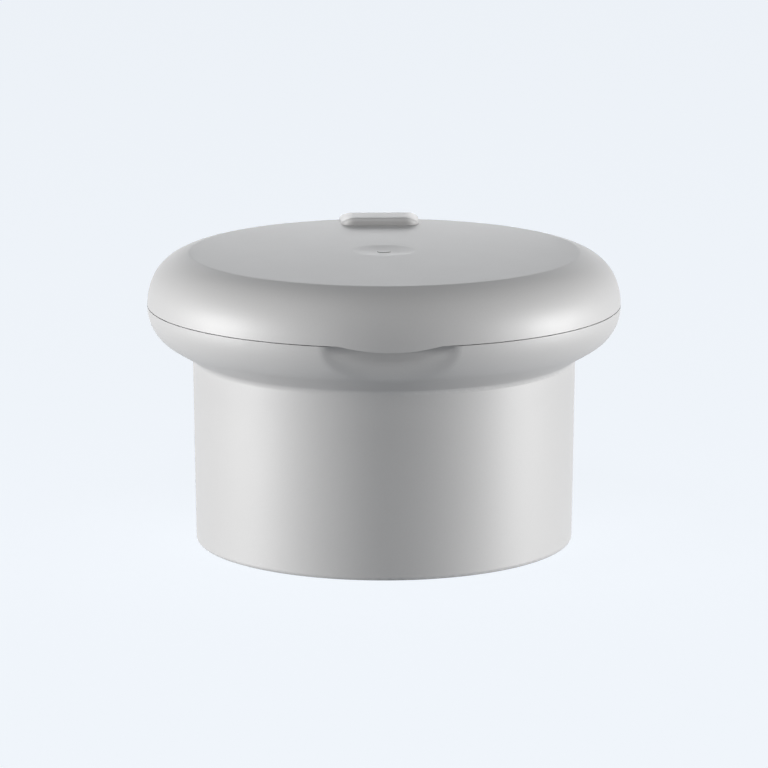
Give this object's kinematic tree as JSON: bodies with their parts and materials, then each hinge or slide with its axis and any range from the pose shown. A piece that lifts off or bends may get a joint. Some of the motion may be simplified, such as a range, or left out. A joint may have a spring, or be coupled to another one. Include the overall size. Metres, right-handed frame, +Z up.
{
  "type": "flip top cap",
  "caption": "Screw-on flip top cap with a mushroom head: smooth skirt, dispensing nozzle under a domed lid, thumb recess and living hinge.",
  "frame": {"origin": "on the neck's axis, in the plane of the skirt's rim", "axes": "+Z up along the neck's axis from the skirt's rim to the lid, -Y towards the thumb recess, +Y towards the hinge"},
  "size_m": [0.038, 0.0373, 0.0241],
  "materials": {
    "silver_plastic": "satin pearl silver-grey polypropylene"
  },
  "bodies": {
    "base": {"closure_body": "silver_plastic", "living_hinge": "silver_plastic"},
    "lid": {"lid": "silver_plastic"}
  },
  "joints": [
    {"name": "lid_hinge", "type": "hinge", "parent": "base", "child": "lid", "pos_m": [0, 0.018, 0.0193], "axis": [-1, 0, 0], "range_deg": [0, 180], "deforming": ["living_hinge"]}
  ]
}
